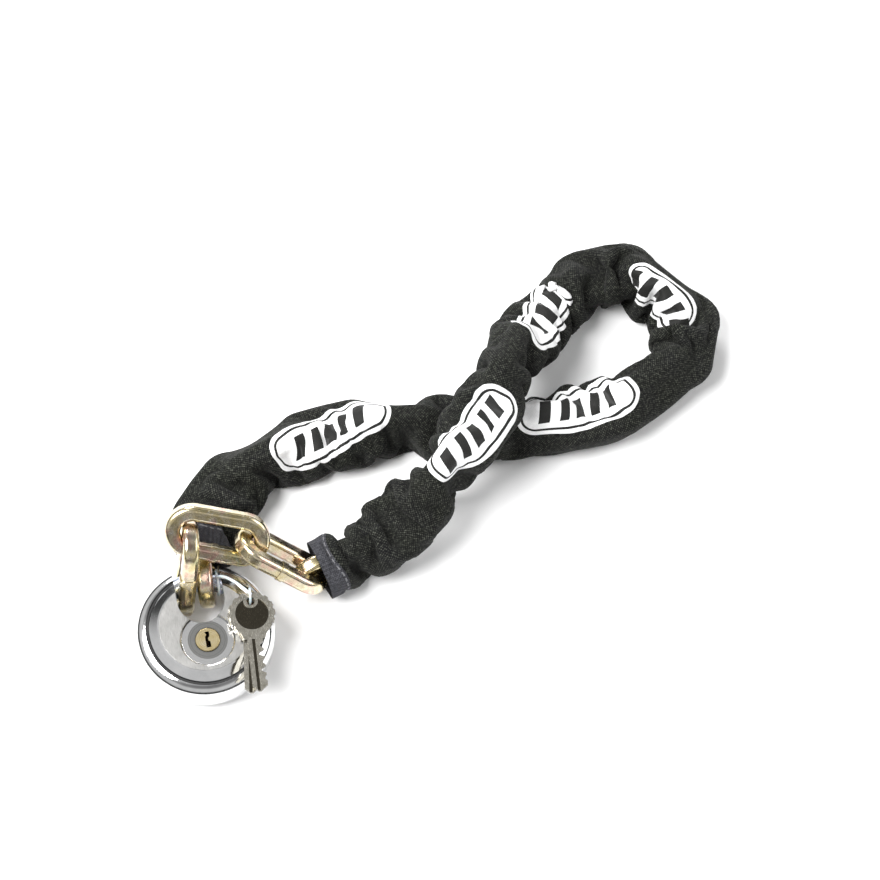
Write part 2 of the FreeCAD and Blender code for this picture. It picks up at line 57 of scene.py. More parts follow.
def make_camera():
    data = bpy.data.cameras.new("camera")
    data.sensor_width = 36.0
    data.angle = CAMERA_FIELD
    data.clip_start = 0.01
    camera = bpy.data.objects.new("camera", data)
    bpy.context.scene.collection.objects.link(camera)
    ray = CAMERA_TOWARDS * math.cos(CAMERA_ELEVATION) + Vector((0, 0, math.sin(CAMERA_ELEVATION)))
    camera.location = CAMERA_TARGET + ray * CAMERA_DISTANCE
    camera.rotation_euler = ray.to_track_quat("Z", "Y").to_euler()
    bpy.context.scene.camera = camera


make_camera()


# ------------------------------------------------------------------------------------------------
# Node materials
# ------------------------------------------------------------------------------------------------
def socket_name(key):
    """Name of a shader's socket, from the name of a Python argument."""
    return key.replace("_", " ").title().replace("Ior", "IOR")


class Shader:
    """A material whose nodes are made one line at a time."""

    def __init__(self, name, **values):
        self.material = bpy.data.materials.new(name)
        self.material.use_nodes = True
        self.tree = self.material.node_tree
        self.shader = self.tree.nodes["Principled BSDF"]
        for key, value in values.items():
            self.shader.inputs[socket_name(key)].default_value = value

    def node(self, kind, **settings):
        made = self.tree.nodes.new(kind)
        for key, value in settings.items():
            setattr(made, key, value)
        return made

    def put(self, value, socket):
        """Links another node's socket to this one, or sets a number, vector or colour on it."""
        if isinstance(value, bpy.types.NodeSocket):
            self.tree.links.new(value, socket)
        elif isinstance(value, tuple) and len(socket.default_value) > len(value):
            socket.default_value = value + (1.0,)
        else:
            socket.default_value = value

    def math(self, operation, a, b=None, c=None):
        made = self.node("ShaderNodeMath", operation=operation)
        for value, socket in zip((a, b, c), made.inputs):
            if value is not None:
                self.put(value, socket)
        return made.outputs[0]

    def vector(self, operation, a, b=None):
        made = self.node("ShaderNodeVectorMath", operation=operation)
        self.put(a, made.inputs[0])
        if b is not None:
            self.put(b, made.inputs[1])
        return made.outputs["Value" if operation in ("LENGTH", "DOT_PRODUCT") else "Vector"]

    def split(self, vector):
        made = self.node("ShaderNodeSeparateXYZ")
        self.put(vector, made.inputs[0])
        return made.outputs

    def join(self, x, y, z=0.0):
        made = self.node("ShaderNodeCombineXYZ")
        for value, socket in zip((x, y, z), made.inputs):
            self.put(value, socket)
        return made.outputs[0]

    def grey(self, value):
        return self.join(value, value, value)

    def both(self, mask_a, mask_b):
        return self.math("MULTIPLY", mask_a, mask_b)

    def noise(self, vector, scale, detail=3.0, roughness=0.55, distortion=0.0):
        made = self.node("ShaderNodeTexNoise")
        self.put(vector, made.inputs["Vector"])
        values = {"Scale": scale, "Detail": detail, "Roughness": roughness, "Distortion": distortion}
        for key, value in values.items():
            made.inputs[key].default_value = value
        return made.outputs["Fac"]

    def ramp(self, factor, stops):
        made = self.node("ShaderNodeValToRGB")
        self.put(factor, made.inputs[0])
        elements = made.color_ramp.elements
        while len(elements) < len(stops):
            elements.new(0.5)
        for element, (place, colour) in zip(elements, stops):
            element.position = place
            element.color = colour + (1.0,)
        return made.outputs["Color"]

    def mix(self, factor, a, b, blend="MIX"):
        made = self.node("ShaderNodeMix", data_type="RGBA", blend_type=blend)
        self.put(factor, made.inputs[0])
        self.put(a, made.inputs[6])
        self.put(b, made.inputs[7])
        return made.outputs[2]

    def remap(self, value, low, high, to_low=0.0, to_high=1.0):
        made = self.node("ShaderNodeMapRange", clamp=True)
        for item, socket in zip((value, low, high, to_low, to_high), made.inputs):
            self.put(item, socket)
        return made.outputs[0]

    def bump(self, height, strength, distance, before=None):
        made = self.node("ShaderNodeBump")
        made.inputs["Strength"].default_value = strength
        made.inputs["Distance"].default_value = distance
        self.put(height, made.inputs["Height"])
        if before is not None:
            self.put(before, made.inputs["Normal"])
        return made.outputs[0]

    def place(self, kind="Object"):
        return self.node("ShaderNodeTexCoord").outputs[kind]

    def set(self, **sockets):
        for key, value in sockets.items():
            self.put(value, self.shader.inputs[socket_name(key)])
        return self.material


def lock_axes():
    """The padlock's centre and axes, from its two turning joints, and how far the plug is below it."""
    centre = np.array(JOINTS["shackle_turn"]["pos_m"])
    out = np.array(JOINTS["shackle_turn"]["axis"])
    out /= np.linalg.norm(out)
    up = centre - np.array(JOINTS["plug_turn"]["pos_m"])
    drop = float(np.linalg.norm(up))
    up /= drop
    return centre, np.cross(up, out), up, out, drop


LOCK_CENTRE, LOCK_RIGHT, LOCK_UP, LOCK_OUT, PLUG_DROP = lock_axes()


def lock_place(shader):
    """The place in the padlock's own frame, in metres, as a vector socket and as its three parts."""
    offset = shader.vector("SUBTRACT", shader.place(), tuple(LOCK_CENTRE))
    axes = [shader.vector("DOT_PRODUCT", offset, tuple(axis)) for axis in (LOCK_RIGHT, LOCK_UP, LOCK_OUT)]
    return shader.join(*axes), axes


def link_pose(name):
    """Middle of a piece, with its long axis, its width and its normal as rows."""
    mesh = NODES[name].data
    points = np.empty(len(mesh.vertices) * 3)
    mesh.vertices.foreach_get("co", points)
    points = points.reshape(-1, 3)
    low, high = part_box(name)
    centre = np.array((low + high) * 0.5)
    spread = (points - centre).T @ (points - centre)
    vectors = np.linalg.eigh(spread)[1]
    return centre, vectors[:, ::-1].T


def link_plating():
    """Yellow passivated zinc: pale gold over silver, with pink and green casts."""
    s = Shader("link_plating", metallic=1.0, coat_weight=0.25, coat_roughness=0.12)
    where = s.place()
    broad = s.noise(where, 70.0, 4.0, 0.6, 0.6)
    tint = s.ramp(broad, [(0.30, (0.42, 0.47, 0.29)), (0.42, (0.66, 0.55, 0.30)), (0.52, (0.72, 0.64, 0.46)),
                          (0.62, (0.68, 0.44, 0.35)), (0.74, (0.60, 0.59, 0.54))])
    fine = s.noise(where, 900.0, 3.0, 0.6)
    speck = s.remap(fine, 0.35, 0.70, 0.84, 1.04)
    grain = s.noise(s.vector("MULTIPLY", where, (1.0, 1.0, 0.35)), 260.0, 3.0, 0.65)
    wear = s.remap(s.noise(where, 150.0, 4.0, 0.6), 0.56, 0.72)
    colour = s.mix(wear, tint, (0.76, 0.73, 0.64))
    colour = s.mix(1.0, colour, s.grey(speck), "MULTIPLY")
    rough = s.remap(grain, 0.3, 0.75, 0.16, 0.32)
    height = s.math("ADD", s.math("MULTIPLY", fine, 0.35), grain)
    return s.set(base_color=colour, roughness=rough, normal=s.bump(height, 0.10, 0.0004))


# Zones of the padlock's front, in its own frame: how far each reaches from its middle, and its lowest level
FACE_EDGE, FACE_LEVEL = 0.0229, 0.0134
DISH_EDGE, DISH_LEVEL = 0.0127, 0.0118      # dish round the plug
DISH_LIP = 0.0098           # inner edge of the painted highlight ring at the dish's edge
GROOVE_INNER, GROOVE_OUTER, GROOVE_LEVEL = 0.0277, 0.0292, 0.009        # painted shade in a thin ring round the rim


def lock_steel():
    """Shell: brushed flat face, polished bevel and rim, a round dish turned round the plug."""
    s = Shader("lock_steel", metallic=1.0)
    place, (x, y, z) = lock_place(s)
    radius = s.vector("LENGTH", s.join(x, y, 0.0))
    dish_radius = s.vector("LENGTH", s.join(x, s.math("ADD", y, PLUG_DROP), 0.0))
    on_face = s.both(s.math("LESS_THAN", radius, FACE_EDGE), s.math("GREATER_THAN", z, FACE_LEVEL))
    in_dish = s.both(s.math("LESS_THAN", dish_radius, DISH_EDGE), s.math("GREATER_THAN", z, DISH_LEVEL))
    # painted shade: a thin dark ring round the rim, in the step between rim and face
    groove_shade = s.both(s.math("GREATER_THAN", radius, GROOVE_INNER), s.math("LESS_THAN", radius, GROOVE_OUTER))
    groove_shade = s.both(groove_shade, s.math("GREATER_THAN", z, GROOVE_LEVEL))
    streak = s.noise(s.vector("MULTIPLY", place, (5200.0, 260.0, 500.0)), 1.0, 4.0, 0.7)
    rings = s.join(s.math("MULTIPLY", dish_radius, 4200.0), 0.0, s.math("MULTIPLY", z, 300.0))
    turned = s.noise(rings, 1.0, 3.0)
    draw = s.join(s.math("MULTIPLY", radius, 3600.0), s.math("MULTIPLY", z, 3600.0), 0.0)
    drawn = s.noise(draw, 1.0, 3.0)
    cloud = s.noise(place, 90.0, 4.0, 0.6)
    rough_face = s.remap(streak, 0.25, 0.75, 0.26, 0.44)
    rough_rim = s.remap(s.math("ADD", s.math("MULTIPLY", drawn, 0.5), cloud), 0.5, 1.1, 0.07, 0.17)
    rough = s.mix(on_face, s.grey(rough_rim), s.grey(rough_face))
    rough = s.mix(in_dish, rough, (0.20, 0.20, 0.20))
    face = s.ramp(s.math("ADD", s.math("MULTIPLY", streak, 0.6), s.math("MULTIPLY", cloud, 0.4)),
                  [(0.30, (0.30, 0.295, 0.28)), (0.50, (0.50, 0.495, 0.48)), (0.70, (0.68, 0.67, 0.65))])
    rim = s.ramp(cloud, [(0.3, (0.66, 0.665, 0.67)), (0.7, (0.80, 0.80, 0.80))])
    colour = s.mix(on_face, rim, face)
    # painted highlight: a near-white ring just inside the dish's edge
    lip_highlight = s.both(s.math("GREATER_THAN", dish_radius, DISH_LIP), in_dish)
    bowl = s.ramp(turned, [(0.35, (0.34, 0.34, 0.33)), (0.65, (0.66, 0.66, 0.64))])
    colour = s.mix(in_dish, colour, bowl)
    # painted highlight ring inside the dish's edge
    colour = s.mix(lip_highlight, colour, (0.92, 0.92, 0.92))
    # painted shade ring round the rim
    colour = s.mix(groove_shade, colour, (0.22, 0.22, 0.22))
    height = s.math("ADD", s.math("MULTIPLY", streak, on_face), s.math("MULTIPLY", turned, in_dish))
    height = s.math("ADD", height, s.math("MULTIPLY", drawn, 0.25))
    return s.set(base_color=colour, roughness=s.split(rough)[0], normal=s.bump(height, 0.22, 0.00012))


def shackle_steel():
    """Hardened satin bar with a blue-grey cast and marks along it."""
    s = Shader("shackle_steel", metallic=1.0)
    place, (x, y, z) = lock_place(s)
    along = s.math("ARCTAN2", x, y)
    radius = s.vector("LENGTH", s.join(x, y, 0.0))
    marks = s.join(s.math("MULTIPLY", along, 9.0), s.math("MULTIPLY", radius, 2600.0),
                   s.math("MULTIPLY", z, 2600.0))
    line = s.noise(marks, 1.0, 4.0, 0.65)
    cloud = s.noise(place, 160.0, 4.0, 0.6)
    colour = s.ramp(s.math("ADD", s.math("MULTIPLY", line, 0.5), s.math("MULTIPLY", cloud, 0.5)),
                    [(0.32, (0.30, 0.33, 0.40)), (0.55, (0.50, 0.54, 0.62)), (0.74, (0.68, 0.70, 0.74))])
    return s.set(base_color=colour, roughness=s.remap(line, 0.3, 0.7, 0.18, 0.36),
                 normal=s.bump(line, 0.25, 0.00015))


KEYWAY_TOP, KEYWAY_BOTTOM = 0.0003, 0.0011  # below the plug's front: painted shade in the key slot sets in here, and is full here


def brass():
    """Machined brass, with turning marks round the plug and painted shade down in the key slot."""
    s = Shader("lock_brass", metallic=1.0)
    place, (x, y, z) = lock_place(s)
    front = max((np.array(vertex.co) - LOCK_CENTRE) @ LOCK_OUT for vertex in NODES["plug"].data.vertices)
    around = s.vector("LENGTH", s.join(x, s.math("ADD", y, PLUG_DROP), 0.0))
    rings = s.noise(s.join(s.math("MULTIPLY", around, 5200.0), 0.0, 0.0), 1.0, 3.0)
    cloud = s.noise(place, 300.0, 4.0, 0.6)
    colour = s.ramp(cloud, [(0.3, (0.84, 0.66, 0.32)), (0.55, (0.96, 0.80, 0.47)),
                            (0.75, (0.98, 0.89, 0.66))])
    # painted shade: brass darker with depth below the plug's front, as in the key slot
    keyway_shade = s.remap(z, front - KEYWAY_BOTTOM, front - KEYWAY_TOP, 1.0, 0.0)
    colour = s.mix(keyway_shade, colour, (0.10, 0.06, 0.02))
    return s.set(base_color=colour, roughness=s.remap(rings, 0.3, 0.7, 0.16, 0.32),
                 normal=s.bump(rings, 0.2, 0.0001))


def plain_steel(name, dark, light, low=0.25, high=0.45):
    """Scratched steel between two greys, with its roughness from low to high."""
    s = Shader(name, metallic=1.0)
    where = s.place()
    cloud = s.noise(where, 240.0, 5.0, 0.65)
    scratch = s.noise(s.vector("MULTIPLY", where, (3000.0, 300.0, 300.0)), 1.0, 3.0)
    return s.set(base_color=s.ramp(cloud, [(0.3, dark), (0.7, light)]),
                 roughness=s.remap(scratch, 0.3, 0.7, low, high), normal=s.bump(scratch, 0.15, 0.0001))


def slab(name):
    """Level of a key's middle above the padlock's own plane, and half of its thickness."""
    levels = [(np.array(vertex.co) - LOCK_CENTRE) @ LOCK_OUT for vertex in NODES[name].data.vertices]
    return (max(levels) + min(levels)) / 2, (max(levels) - min(levels)) / 2


RECESS_TOP, RECESS_BOTTOM = 0.00008, 0.00022        # painted shade sets in at the first depth below a key's face, and is full at the second
FACE_SPARE = 0.0001         # a level this far past a key's face still belongs to it


def key_metal(*names):
    """Nickel silver with handling marks, and painted shade in the recesses of the bow and the grooves of the
    blade.
    """
    s = Shader("key_nickel", metallic=1.0)
    place, (x, y, z) = lock_place(s)
    # painted shade: each key darker at depths below its own face, in its recesses
    recess_shade = None
    for name in names:
        level, half = slab(name)
        height = s.math("ABSOLUTE", s.math("SUBTRACT", z, level))
        here = s.remap(height, half - RECESS_BOTTOM, half - RECESS_TOP, 1.0, 0.0)
        if recess_shade is None:
            recess_shade = here
            continue
        inside = s.math("LESS_THAN", height, half + FACE_SPARE)
        recess_shade = s.math("ADD", s.both(here, inside), s.both(recess_shade, s.math("SUBTRACT", 1.0, inside)))
    cloud = s.noise(place, 420.0, 5.0, 0.65)
    scratch = s.noise(s.vector("MULTIPLY", place, (4200.0, 700.0, 900.0)), 1.0, 3.0)
    base = s.ramp(cloud, [(0.3, (0.46, 0.44, 0.37)), (0.55, (0.64, 0.61, 0.53)), (0.8, (0.74, 0.71, 0.64))])
    colour = s.mix(recess_shade, base, (0.085, 0.075, 0.055))
    return s.set(base_color=colour, roughness=s.remap(scratch, 0.3, 0.7, 0.14, 0.30),
                 normal=s.bump(scratch, 0.12, 0.00012))


def tie_plastic():
    """Translucent white plastic."""
    s = Shader("tie_plastic", transmission_weight=0.35, ior=1.5, subsurface_weight=0.3, roughness=0.28)
    cloud = s.noise(s.place(), 500.0, 3.0)
    return s.set(base_color=s.ramp(cloud, [(0.3, (0.82, 0.84, 0.83)), (0.7, (0.95, 0.96, 0.95))]),
                 normal=s.bump(cloud, 0.15, 0.0002))


def dress(material, *names):
    """Gives a material to CAD nodes."""
    for name in names:
        obj = NODES[name]
        obj.data.materials.clear()
        obj.data.materials.append(material)


LINK_NAMES = ["link_%02d" % number for number in range(1, 20)]
BARE_LINKS = ["link_r", "link_l", "link_v"]
dress(link_plating(), *LINK_NAMES, *BARE_LINKS)
dress(lock_steel(), "front_shell", "back_shell")
dress(shackle_steel(), "shackle")
dress(brass(), "cylinder_body", "plug", "key_pins", "driver_pins")
dress(plain_steel("drive_steel", (0.30, 0.30, 0.31), (0.52, 0.52, 0.53)), "crank", "shackle_carrier")
dress(plain_steel("spring_steel", (0.40, 0.40, 0.42), (0.66, 0.66, 0.68), 0.15, 0.3),
      "pin_springs", "crank_screw")
dress(plain_steel("cast_block", (0.09, 0.09, 0.10), (0.20, 0.20, 0.21), 0.4, 0.6), "lock_block")
dress(key_metal("key_2", "key_1"), "key_1", "key_2")
dress(tie_plastic(), "key_tie")


# ------------------------------------------------------------------------------------------------
# Sleeve: a cloth tube settled over the links
# ------------------------------------------------------------------------------------------------
LINK_HALF = 0.0125          # half of a link's straight side
LINK_REACH = 0.0141         # from there to its outside
LINK_THICK = 0.0041         # half of its thickness
LINK_EDGE = 0.0024          # rounding of its edges
CLOTH_GAP = 0.0010          # from a link to the outside of the cloth
RINGS = 216                 # of cloth points along the sleeve
SEGMENTS = 40               # points in each ring
CLOTH_ROUND = 0.095         # length of cloth round the tube
TUBE_RADIUS = 0.0205        # at the start, before the cloth is drawn in
DRAW_IN = 0.4               # share of the steps in which it is drawn in
WAVES, WAVE_HEIGHT = 26, 0.00022            # small waves of the tube at the start
CLOTH_REACH = 0.0180        # furthest the cloth stands off the route
CLOTH_THICK = 0.0012
CUFF = 0.0105               # width of the hem at each end
CUFF_RADIUS = 0.0144        # at which the two rings at each end are held
STRAND_LIFT = 0.0004        # of the tube's middle over the route
CLOTH_FLOOR = 0.0007        # lowest level of the cloth as it settles
LINK_SPAN = 1.5             # cloth this many links away may touch a sleeved link
END_RINGS = 16              # rings at each end that may touch a bare link
STEPS = 150
KEPT_SPEED = 0.86           # share of a point's motion that carries over to the next step
FALL = 6.0e-6               # drop in each step from the cloth's weight
PULL_LIMIT = 0.25           # most that one constraint may move a point, as a share of the pair's span

# Where the sleeve starts and ends: past the middle of its end link, and that place as a link number
SLEEVE_START, START_NUMBER = 0.002, 1.06
SLEEVE_END, END_NUMBER = 0.0115, 19.33
ROUTE_POINTS = 1400         # on the route while it is smoothed
ROUTE_BLUR = 0.0085         # standard deviation of the smoothing
ROUTE_WINDOW = 60           # points that it takes in on each side

# How much cloth is gathered on the route: link number, cloth length over route length
GATHERS = [(1.0, 1.30), (1.7, 1.18), (3.0, 1.08), (4.6, 1.06), (5.4, 1.30), (6.4, 1.12), (8.4, 1.07),
           (9.4, 1.22), (10.4, 1.45), (11.4, 1.42), (12.3, 1.40), (13.6, 1.36), (15.0, 1.30), (16.3, 1.30),
           (17.2, 1.22), (18.4, 1.30), (19.4, 1.16)]
# Where the cloth is drawn in: link number, share of its girth, half length in links
WAISTS = [(1.75, 0.10, 0.16), (2.9, 0.10, 0.30), (5.2, 0.16, 0.26), (6.0, 0.06, 0.3), (9.45, 0.12, 0.24),
          (10.35, 0.10, 0.16), (11.5, 0.12, 0.18), (12.35, 0.24, 0.22), (14.7, 0.12, 0.20),
          (15.55, 0.10, 0.16), (16.95, 0.12, 0.24), (17.9, 0.08, 0.16), (18.75, 0.14, 0.18)]

# The strands that cross, as ranges of link numbers, and how they are kept apart
LOWER_STRAND, UPPER_STRAND = (5, 9), (13.5, 17.5)
STRAND_GAP = 0.0171         # least distance from the lower strand's middle to the upper strand's cloth
LOWER_CEILING = 0.0329      # highest level of the lower strand's cloth
UPPER_SPAN, LOWER_SPAN = 0.034, 0.030       # how far from the crossing each of them holds


def along_line(points):
    """Distance along a line at each of its points."""
    return np.concatenate([[0], np.cumsum(np.linalg.norm(np.diff(points, axis=0), axis=1))])


def resample(points, length, wanted):
    """Points of a line at the wanted distances along it."""
    return np.stack([np.interp(wanted, length, points[:, k]) for k in range(3)], axis=1)


def route():
    """Smooth line through the sleeved links, evenly spaced, with the link number at each point."""
    poses = [link_pose(name) for name in LINK_NAMES]
    centres = np.array([pose[0] for pose in poses])
    first = poses[0][1][0] * np.sign(poses[0][1][0] @ (centres[1] - centres[0]))
    last = poses[-1][1][0] * np.sign(poses[-1][1][0] @ (centres[-1] - centres[-2]))
    points = np.vstack([centres[0] + first * SLEEVE_START, centres[1:], centres[-1] + last * SLEEVE_END])
    numbers = np.concatenate([[START_NUMBER], np.arange(2, len(LINK_NAMES) + 1), [END_NUMBER]])
    length = along_line(points)
    fine = np.linspace(0, length[-1], ROUTE_POINTS)
    line = resample(points, length, fine)
    place = np.interp(fine, length, numbers)
    spread = np.arange(-ROUTE_WINDOW, ROUTE_WINDOW + 1) * (fine[1] - fine[0])
    window = np.exp(-0.5 * (spread / ROUTE_BLUR) ** 2)
    window /= window.sum()
    before = [line[0] + (line[0] - line[ROUTE_WINDOW - k]) for k in range(ROUTE_WINDOW)]
    after = [line[-1] + (line[-1] - line[-2 - k]) for k in range(ROUTE_WINDOW)]
    padded = np.vstack([before, line, after])
    line = np.stack([np.convolve(padded[:, k], window, mode="valid") for k in range(3)], axis=1)
    length = along_line(line)
    even = np.linspace(0, length[-1], RINGS)
    return resample(line, length, even), np.interp(even, length, place), length[-1], poses


def sides_of(line):
    """Unit vectors to the left and upwards at each point of a line."""
    ahead = np.gradient(line, axis=0)
    ahead /= np.linalg.norm(ahead, axis=1)[:, None]
    left = np.cross(UP, ahead)
    left /= np.linalg.norm(left, axis=1)[:, None]
    return left, np.cross(ahead, left)


def pairs(rows, columns, down, across):
    """Two sets of vertex pairs of the tube's grid, with no vertex twice in a set."""
    sets = []
    grid = np.arange(rows * columns).reshape(rows, columns)
    first = grid[:rows - down] if down else grid
    second = np.roll(grid, -across, axis=1)
    second = second[down:] if down else second
    for phase in range(2):
        if down:
            keep = (np.arange(first.shape[0]) // down) % 2 == phase
            sets.append((first[keep].ravel(), second[keep].ravel()))
        else:
            keep = (np.arange(columns) // across) % 2 == phase
            sets.append((first[:, keep].ravel(), second[:, keep].ravel()))
    return sets


def draw_together(points, sets, rests, stretch, squeeze):
    """One pass of distance constraints; stretch and squeeze are their strengths."""
    for (a, b), rest in zip(sets, rests):
        span = points[b] - points[a]
        length = np.sqrt((span * span).sum(1))
        error = 1.0 - rest / np.maximum(length, 1e-9)
        share = np.where(error > 0, stretch, squeeze) * error * 0.5
        share = np.clip(share, -PULL_LIMIT, PULL_LIMIT)
        points[a] += span * share[:, None]
        points[b] -= span * share[:, None]


def keep_off_link(points, pose):
    """Pushes points out of a link and its gap for the cloth, with the link's hole counted as solid."""
    centre, axes = pose
    local = (points - centre) @ axes.T
    beyond = np.sign(local[:, 0]) * np.maximum(np.abs(local[:, 0]) - LINK_HALF, 0)
    flat = np.stack([beyond, local[:, 1]], axis=1)
    reach = np.linalg.norm(flat, axis=1)
    side = reach - LINK_REACH
    deep = np.abs(local[:, 2]) - LINK_THICK
    outer = np.stack([side + LINK_EDGE, deep + LINK_EDGE], axis=1)
    distance = np.linalg.norm(np.maximum(outer, 0), axis=1) + np.minimum(outer.max(1), 0) - LINK_EDGE
    inside = distance < CLOTH_GAP
    if not inside.any():
        return
    way = np.maximum(outer[inside], 0)
    flat_case = way.max(1) < 1e-9
    pick = outer[inside].argmax(1)
    way[flat_case, 0] = (pick[flat_case] == 0)
    way[flat_case, 1] = (pick[flat_case] == 1)
    way /= np.linalg.norm(way, axis=1)[:, None]
    outward = flat[inside] / np.maximum(reach[inside], 1e-6)[:, None]
    push = np.zeros((inside.sum(), 3))
    push[:, 0] = outward[:, 0] * way[:, 0]
    push[:, 1] = outward[:, 1] * way[:, 0]
    push[:, 2] = np.sign(local[inside, 2]) * way[:, 1]
    points[inside] += (push * (CLOTH_GAP - distance[inside])[:, None]) @ axes


def start_tube(centre, left, lift):
    """Round tube with small waves, and where its two rings at each end are held."""
    turn = np.linspace(0, 2 * math.pi, SEGMENTS, endpoint=False)
    rng = np.random.default_rng(7)
    wave = np.zeros((RINGS, SEGMENTS))
    steps = np.linspace(0, 1, RINGS)[:, None]
    for _ in range(WAVES):
        cycles, lobes = rng.integers(12, 60), rng.integers(0, 4)
        height, phase = rng.normal(), rng.uniform(0, 6.28)
        wave += height * np.sin(2 * math.pi * cycles * steps + lobes * turn[None, :] + phase)
    radius = TUBE_RADIUS + WAVE_HEIGHT * wave
    around = np.sin(turn)[None, :, None] * left[:, None, :] + np.cos(turn)[None, :, None] * lift[:, None, :]
    points = (centre[:, None, :] + around * radius[:, :, None]).reshape(-1, 3)
    pinned = np.concatenate([np.arange(2 * SEGMENTS), np.arange((RINGS - 2) * SEGMENTS, RINGS * SEGMENTS)])
    held = (centre[:, None, :] + around * CUFF_RADIUS).reshape(-1, 3)[pinned]
    return points, pinned, held


def cloth_lengths(place, length):
    """Cloth's place along its own length at each ring, and its rest lengths along and around the tube."""
    numbers, amounts = zip(*GATHERS)
    growth = np.interp(place, numbers, amounts)
    share = np.concatenate([[0.0], np.cumsum(0.5 * (growth[1:] + growth[:-1]) * length / (RINGS - 1))])
    girth = np.ones(RINGS)
    for number, amount, half in WAISTS:
        girth -= amount * np.exp(-((place - number) / half) ** 2)
    return share, np.diff(share).repeat(SEGMENTS), (CLOTH_ROUND / SEGMENTS * girth).repeat(SEGMENTS)


def cloth_edges(along, around):
    """Constraints of the cloth: sets of pairs, their rest lengths, and strengths of stretch and squeeze."""
    slant = np.hypot(along, around[:-SEGMENTS])
    long_span = along[:-SEGMENTS] + along[SEGMENTS:]
    kinds = [(1, 0, along, 0.9, 0.6), (0, 1, around, 0.9, 0.7),
             (1, 1, slant, 0.25, 0.2), (1, -1, slant, 0.25, 0.2),
             (2, 0, long_span, 0.0, 0.06), (0, 2, 2 * around, 0.0, 0.08)]
    edges = []
    for down, across, rest, stretch, squeeze in kinds:
        sets = pairs(RINGS, SEGMENTS, down, across)
        edges.append((sets, [rest[first] for first, _ in sets], stretch, squeeze))
    return edges


def link_rows(place, poses):
    """Each link's pose, with the rows of cloth points that may touch it."""
    links = []
    for number, pose in enumerate(poses, 1):
        rows = np.where(np.abs(place - number) < LINK_SPAN)[0]
        links.append((pose, slice(rows[0] * SEGMENTS, (rows[-1] + 1) * SEGMENTS)))
    for name in BARE_LINKS:
        links.append((link_pose(name), slice(0, END_RINGS * SEGMENTS)))
        links.append((link_pose(name), slice((RINGS - END_RINGS) * SEGMENTS, RINGS * SEGMENTS)))
    return links


def settle_sleeve():
    """The sleeve's cloth as rings of points, with each ring's link number and place along the cloth."""
    line, place, length, poses = route()
    left, lift = sides_of(line)
    centre = line + lift * STRAND_LIFT
    points, pinned, held = start_tube(centre, left, lift)
    share, along, around = cloth_lengths(place, length)
    edges = cloth_edges(along, around)
    links = link_rows(place, poses)
    crossing = over_and_under(line, place)
    before = points.copy()
    middle = np.repeat(centre, SEGMENTS, axis=0)
    for step in range(STEPS):
        slack = max(0.0, 1 - step / (DRAW_IN * STEPS))
        limit = CLOTH_REACH + (TUBE_RADIUS - CLOTH_REACH) * slack
        move = (points - before) * KEPT_SPEED
        before = points.copy()
        points += move
        points[:, 2] -= FALL
        for sets, rests, stretch, squeeze in edges:
            draw_together(points, sets, rests, stretch, squeeze)
        points[pinned] = held
        outward = points - middle
        reach = np.linalg.norm(outward, axis=1)
        far = reach > limit
        points[far] -= outward[far] * ((reach[far] - limit) / reach[far])[:, None] * 0.5
        for pose, rows in links:
            part = points[rows]
            keep_off_link(part, pose)
            points[rows] = part
        crossing(points)
        points[:, 2] = np.maximum(points[:, 2], CLOTH_FLOOR)
    return points.reshape(RINGS, SEGMENTS, 3), place, share


def over_and_under(line, place):
    """Keeps the upper strand's cloth off the lower strand's where they cross."""
    lower = (place > LOWER_STRAND[0]) & (place < LOWER_STRAND[1])
    upper = (place > UPPER_STRAND[0]) & (place < UPPER_STRAND[1])
    low_line = line[lower] + UP * STRAND_LIFT
    low_rows = np.where(lower)[0]
    up_rows = np.where(upper)[0]
    upper_slice = slice(up_rows[0] * SEGMENTS, (up_rows[-1] + 1) * SEGMENTS)
    lower_slice = slice(low_rows[0] * SEGMENTS, (low_rows[-1] + 1) * SEGMENTS)
    gap = ((line[upper][:, None, :2] - low_line[None, :, :2]) ** 2).sum(2)
    spot = np.unravel_index(gap.argmin(), gap.shape)
    here = line[upper][spot[0]][:2]

    def apply(points):
        part = points[upper_slice]
        near = np.linalg.norm(part[:, :2] - here, axis=1) < UPPER_SPAN
        few = part[near]
        away = few[:, None, :] - low_line[None, :, :]
        reach = (away ** 2).sum(2)
        best = reach.argmin(1)
        distance = np.sqrt(reach[np.arange(len(few)), best])
        short = distance < STRAND_GAP
        step = away[np.arange(len(few)), best][short] / distance[short][:, None]
        few[short] += step * (STRAND_GAP - distance[short])[:, None]
        part[near] = few
        points[upper_slice] = part
        low = points[lower_slice]
        close = np.linalg.norm(low[:, :2] - here, axis=1) < LOWER_SPAN
        low[close, 2] = np.minimum(low[close, 2], LOWER_CEILING)
        points[lower_slice] = low

    return apply


def finer(grid):
    """Doubles a tube grid in both directions with a smooth four-point rule."""
    beside, back, beyond = (np.roll(grid, shift, axis=1) for shift in (-1, 1, -2))
    across = (9 * (grid + beside) - back - beyond) / 16
    wide = np.stack([grid, across], axis=2).reshape(grid.shape[0], -1, grid.shape[2])
    padded = np.vstack([2 * wide[:1] - wide[1:2], wide, 2 * wide[-1:] - wide[-2:-1]])
    between = (9 * (padded[1:-2] + padded[2:-1]) - padded[:-3] - padded[3:]) / 16
    tall = np.empty((2 * wide.shape[0] - 1,) + wide.shape[1:])
    tall[0::2] = wide
    tall[1::2] = between
    return tall


def grid_normals(grid):
    """Outward unit normal at each point of a tube grid."""
    down = np.gradient(grid, axis=0)
    across = np.roll(grid, -1, axis=1) - np.roll(grid, 1, axis=1)
    normal = np.cross(across, down)
    return normal / np.maximum(np.linalg.norm(normal, axis=2), 1e-12)[:, :, None]


LINING_FLOOR = 0.0002       # lowest level of the sleeve's inner wall


